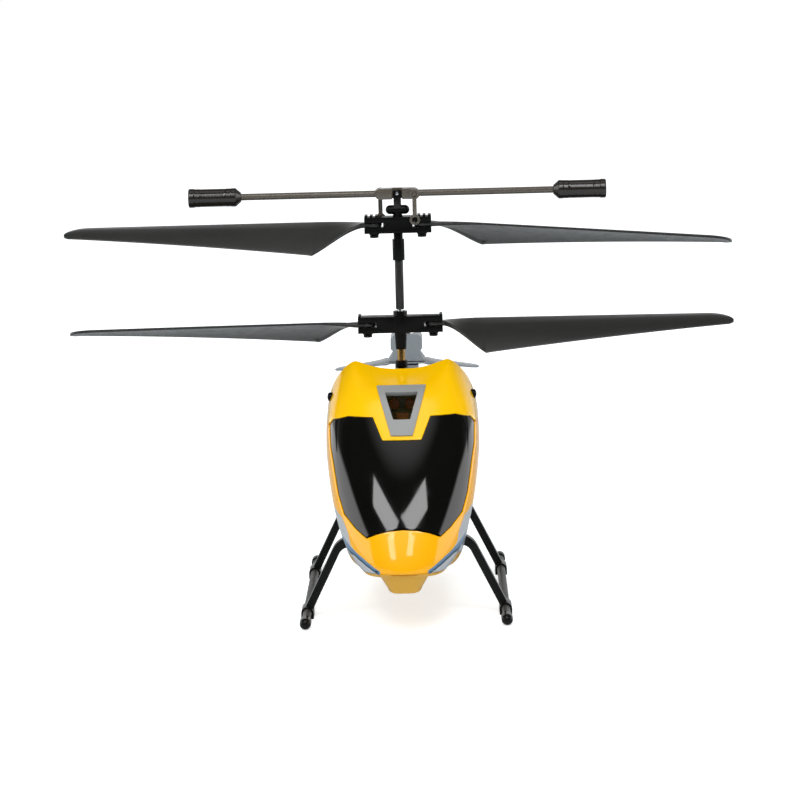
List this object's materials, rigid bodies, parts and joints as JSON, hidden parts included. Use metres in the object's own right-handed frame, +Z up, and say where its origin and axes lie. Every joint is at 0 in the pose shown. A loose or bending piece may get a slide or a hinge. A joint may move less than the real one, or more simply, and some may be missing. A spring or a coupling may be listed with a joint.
{
  "type": "toy helicopter",
  "caption": "Palm-size toy helicopter on skids with a rounded cabin, dark visor, coaxial counter-turning rotors, a weighted flybar and a slim tail boom.",
  "frame": {"origin": "middle of the overall box, on the floor under the skids", "axes": "+Z up along the mast, +Y towards the tail, +X to the right seen from the front"},
  "size_m": [0.19, 0.1996, 0.1196],
  "materials": {
    "yellow_plastic": "glossy moulded",
    "visor_plastic": "high gloss",
    "grey_plastic": "satin painted",
    "black_plastic": "semi-matt moulded",
    "blade_plastic": "satin moulded",
    "dark_rod": "satin",
    "smoke_plastic": "smoked, part clear",
    "steel": "bright",
    "black_steel": "black oxide",
    "brass": "plain",
    "white_nylon": "moulded",
    "board_green": "lacquered board",
    "board_brown": "plain",
    "cell_foil": "foil wrap"
  },
  "bodies": {
    "airframe": {"main_frame": "black_plastic", "lower_bearing": "brass", "middle_bearing": "brass", "top_bearing": "brass", "left_motor": "steel", "right_motor": "steel", "battery": "cell_foil", "receiver_board": "board_green", "board_parts": "board_brown", "switch_body": "black_plastic", "charge_socket": "black_plastic", "frame_screws": "steel", "cabin_shell": "yellow_plastic", "top_cowl": "yellow_plastic", "visor": "visor_plastic", "vent_bezel": "grey_plastic", "belly_pan": "yellow_plastic", "cowl_screws": "black_steel", "left_front_leg": "black_plastic", "right_front_leg": "black_plastic", "left_rear_leg": "black_plastic", "right_rear_leg": "black_plastic", "left_skid": "dark_rod", "right_skid": "dark_rod", "skid_caps": "black_plastic", "tail_boom": "dark_rod", "boom_clamp": "grey_plastic", "stabiliser": "grey_plastic", "tail_motor_housing": "grey_plastic", "tail_motor": "steel"},
    "left_pinion": {"left_pinion": "brass", "left_motor_shaft": "steel"},
    "right_pinion": {"right_pinion": "brass", "right_motor_shaft": "steel"},
    "lower_rotor": {"outer_shaft": "brass", "upper_gear": "white_nylon", "shaft_collar": "black_plastic", "lower_hub": "black_plastic", "lower_blade_screws": "steel"},
    "lower_right_blade": {"lower_right_blade": "blade_plastic"},
    "lower_left_blade": {"lower_left_blade": "blade_plastic"},
    "upper_rotor": {"inner_shaft": "steel", "lower_gear": "white_nylon", "mast_sleeve": "dark_rod", "rotor_head": "black_plastic", "feather_pin": "steel", "flybar_pin": "steel"},
    "upper_hub": {"upper_hub": "black_plastic", "upper_blade_screws": "steel"},
    "upper_right_blade": {"upper_right_blade": "blade_plastic"},
    "upper_left_blade": {"upper_left_blade": "blade_plastic"},
    "flybar": {"flybar": "smoke_plastic", "left_weight": "smoke_plastic", "right_weight": "smoke_plastic", "weight_slugs": "steel"},
    "front_link": {"front_link": "smoke_plastic"},
    "rear_link": {"rear_link": "smoke_plastic"},
    "tail_rotor": {"tail_rotor": "blade_plastic"},
    "switch_slider": {"switch_slider": "white_nylon"}
  },
  "joints": [
    {"name": "lower_rotor_spin", "type": "hinge", "parent": "airframe", "child": "lower_rotor", "pos_m": [0, -0.0452, 0.0796], "axis": [0, 0, 1], "continuous": true},
    {"name": "upper_rotor_spin", "type": "hinge", "parent": "airframe", "child": "upper_rotor", "pos_m": [0, -0.0452, 0.101], "axis": [0, 0, 1], "continuous": true},
    {"name": "left_pinion_spin", "type": "hinge", "parent": "airframe", "child": "left_pinion", "pos_m": [-0.00634, -0.0588, 0.031], "axis": [0, 0, 1], "continuous": true},
    {"name": "right_pinion_spin", "type": "hinge", "parent": "airframe", "child": "right_pinion", "pos_m": [0.00634, -0.0588, 0.0245], "axis": [0, 0, 1], "continuous": true},
    {"name": "lower_right_lag", "type": "hinge", "parent": "lower_rotor", "child": "lower_right_blade", "pos_m": [0.0094, -0.0452, 0.0796], "axis": [0, 0, 1], "range_deg": [-25, 25]},
    {"name": "lower_left_lag", "type": "hinge", "parent": "lower_rotor", "child": "lower_left_blade", "pos_m": [-0.0094, -0.0452, 0.0796], "axis": [0, 0, 1], "range_deg": [-25, 25]},
    {"name": "flybar_tilt", "type": "hinge", "parent": "upper_rotor", "child": "flybar", "pos_m": [0, -0.0452, 0.1169], "axis": [0, 1, 0], "range_deg": [-3, 3]},
    {"name": "hub_feather", "type": "hinge", "parent": "upper_rotor", "child": "upper_hub", "pos_m": [0, -0.0452, 0.1081], "axis": [1, 0, 0], "range_deg": [-4.4, 4.4]},
    {"name": "upper_right_lag", "type": "hinge", "parent": "upper_hub", "child": "upper_right_blade", "pos_m": [0.0068, -0.0452, 0.1081], "axis": [0, 0, 1], "range_deg": [-25, 25]},
    {"name": "upper_left_lag", "type": "hinge", "parent": "upper_hub", "child": "upper_left_blade", "pos_m": [-0.0068, -0.0452, 0.1081], "axis": [0, 0, 1], "range_deg": [-25, 25]},
    {"name": "front_link_swing", "type": "hinge", "parent": "flybar", "child": "front_link", "pos_m": [0.0049, -0.0488, 0.1169], "axis": [0, 1, 0], "range_deg": [-3.3, 3.3]},
    {"name": "rear_link_swing", "type": "hinge", "parent": "flybar", "child": "rear_link", "pos_m": [-0.0049, -0.0416, 0.1169], "axis": [0, 1, 0], "range_deg": [-3.3, 3.3]},
    {"name": "tail_rotor_spin", "type": "hinge", "parent": "airframe", "child": "tail_rotor", "pos_m": [0, 0.0868, 0.0622], "axis": [0, 0, 1], "continuous": true},
    {"name": "switch_slide", "type": "slide", "parent": "airframe", "child": "switch_slider", "axis": [0, 1, 0], "range_m": [-0.0012, 0.0012]}
  ],
  "couplings": [
    {"joint": "left_pinion_spin", "follows": "lower_rotor_spin", "ratio": -7.3333},
    {"joint": "right_pinion_spin", "follows": "upper_rotor_spin", "ratio": -7.3333},
    {"joint": "hub_feather", "follows": "flybar_tilt", "ratio": 1.3611},
    {"joint": "front_link_swing", "follows": "flybar_tilt", "ratio": -1},
    {"joint": "rear_link_swing", "follows": "flybar_tilt", "ratio": -1}
  ]
}
